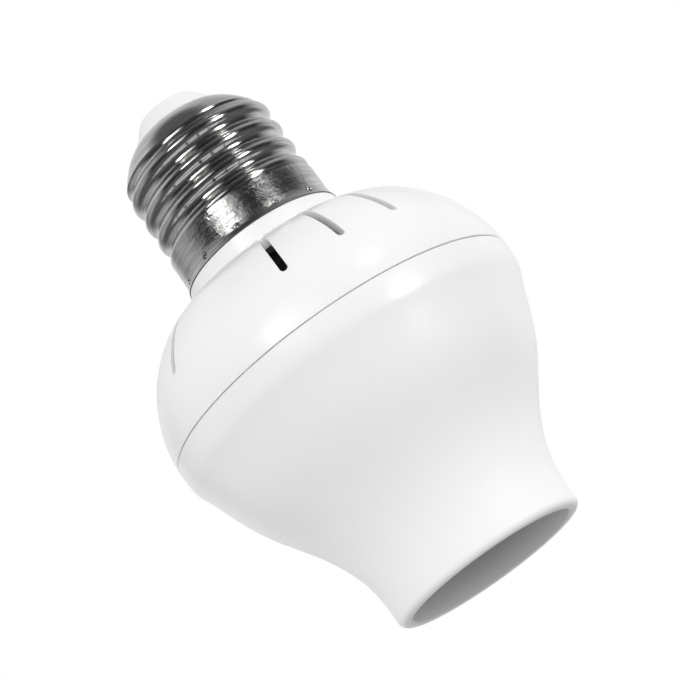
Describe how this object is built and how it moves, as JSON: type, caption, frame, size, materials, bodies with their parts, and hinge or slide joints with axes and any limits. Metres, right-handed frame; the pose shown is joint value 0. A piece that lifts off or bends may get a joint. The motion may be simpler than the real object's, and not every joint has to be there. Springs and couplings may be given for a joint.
{
  "type": "motion sensor lamp holder",
  "caption": "Screw-in lamp holder with a built-in motion sensor: a white bell-shaped housing with vent slots, a threaded metal cap on top and a lamp socket in its open mouth.",
  "frame": {"origin": "middle of the mouth plane, where the open end of the bell ends", "axes": "+Z along the holder's axis from the mouth towards the screw cap; -Y faces the picture's viewer; +X to the viewer's right"},
  "size_m": [0.06, 0.06, 0.0882],
  "materials": {
    "housing_plastic": "white moulded plastic, glossy",
    "cap_metal": "nickel plated rolled sheet",
    "insulator_plastic": "white moulded plastic, satin",
    "contact_metal": "turned and pressed brass",
    "socket_metal": "nickel plated rolled sheet",
    "base_plastic": "off-white moulded plastic, matte",
    "spring_steel": "drawn spring wire",
    "screw_steel": "zinc plated steel",
    "board_laminate": "green circuit board",
    "relay_case": "black moulded case",
    "film_case": "dark yellow moulded case",
    "can_sleeve": "black shrink sleeve",
    "chip_resin": "black moulded resin",
    "varistor_coat": "blue dipped coating",
    "resistor_coat": "grey-green coating",
    "ferrite": "dark ferrite",
    "winding_copper": "enamelled copper wire",
    "header_plastic": "black moulded strip",
    "sensor_face": "orange ceramic disc",
    "live_insulation": "red wire insulation",
    "neutral_insulation": "black wire insulation"
  },
  "bodies": {
    "holder": {"front_cover": "housing_plastic", "rear_cover": "housing_plastic", "cap_shell": "cap_metal", "cap_insulator": "insulator_plastic", "cap_contact": "contact_metal", "socket_shell": "socket_metal", "socket_base": "base_plastic", "shell_rivets": "contact_metal", "live_terminal": "contact_metal", "neutral_terminal": "contact_metal", "contact_spring": "spring_steel", "base_screws": "screw_steel", "main_board": "board_laminate", "board_screws": "screw_steel", "relay": "relay_case", "film_capacitor": "film_case", "bulk_capacitor": "can_sleeve", "output_capacitor": "can_sleeve", "bridge_rectifier": "chip_resin", "varistor": "varistor_coat", "fuse_resistor": "resistor_coat", "choke": "ferrite", "choke_winding": "winding_copper", "control_chip": "chip_resin", "radar_board": "board_laminate", "radar_header": "header_plastic", "light_sensor": "sensor_face", "cap_live_lead": "live_insulation", "cap_neutral_lead": "neutral_insulation"},
    "centre_contact": {"contact_plunger": "contact_metal", "plunger_clip": "spring_steel"}
  },
  "joints": [
    {"name": "contact_travel", "type": "slide", "parent": "holder", "child": "centre_contact", "axis": [0, 0, 1], "range_m": [0, 0.0015], "stiffness_N_per_m": 1500, "deforming": ["contact_spring"]}
  ]
}
